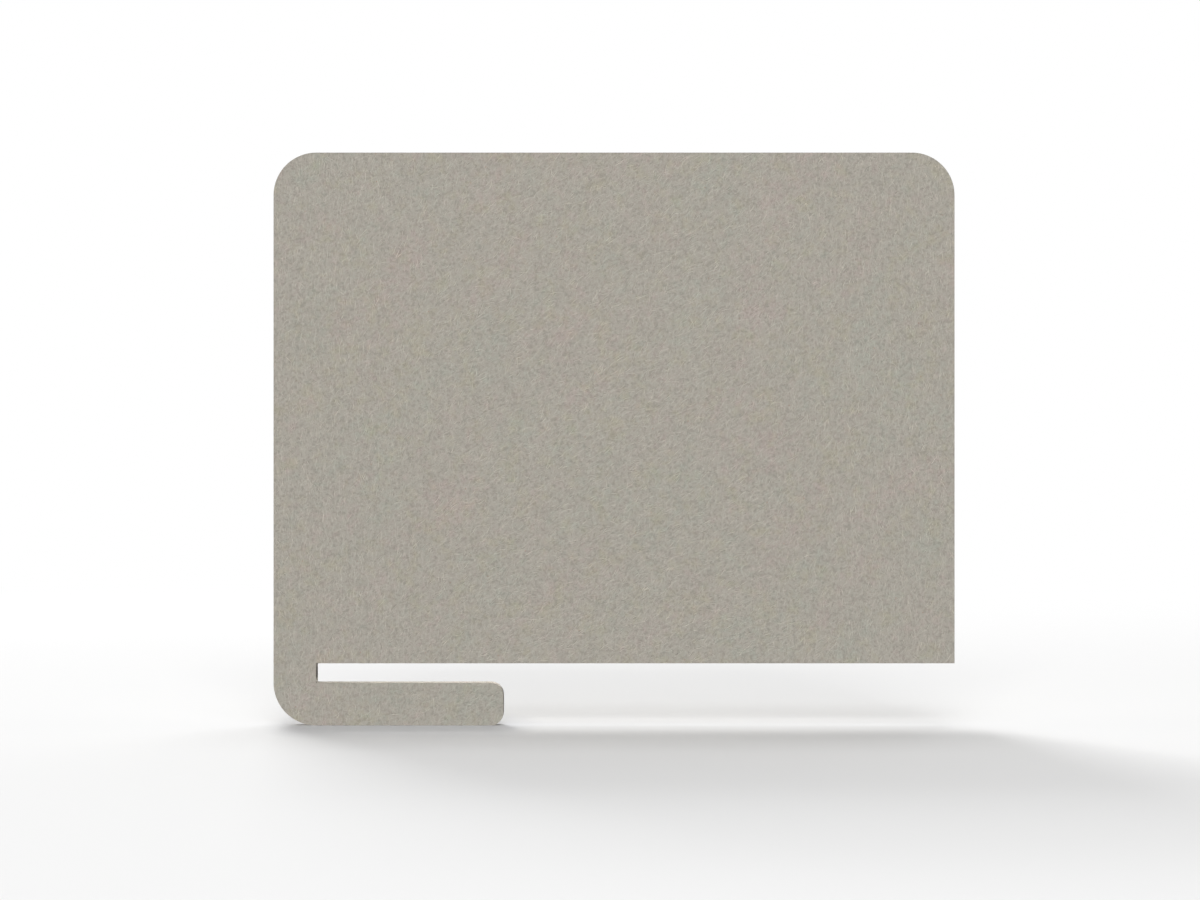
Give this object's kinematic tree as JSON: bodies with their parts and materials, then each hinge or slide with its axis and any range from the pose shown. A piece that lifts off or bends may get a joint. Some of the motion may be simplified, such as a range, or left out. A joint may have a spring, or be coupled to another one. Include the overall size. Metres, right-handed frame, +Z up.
{
  "type": "acoustic desk divider screen",
  "caption": "Felt-faced acoustic desk screen with rounded top corners that slides on to a desktop's edge with its own J-shaped hook.",
  "frame": {"origin": "on the seat where the panel stands on the desktop, at the slot's end wall, which meets the desk's edge, in mid-thickness", "axes": "+X along the panel away from the neck, +Y from the front face to the rear face, +Z up from the desktop"},
  "size_m": [0.8, 0.024, 0.673],
  "materials": {
    "face_felt": "matte",
    "edge_felt": "matte",
    "core_board": "matte",
    "glue_web": "satin"
  },
  "bodies": {
    "root": {"front_felt": "face_felt", "rear_felt": "face_felt", "felt_edge_frame": "edge_felt", "core_board": "core_board", "front_glue_web": "glue_web", "rear_glue_web": "glue_web"}
  },
  "joints": []
}
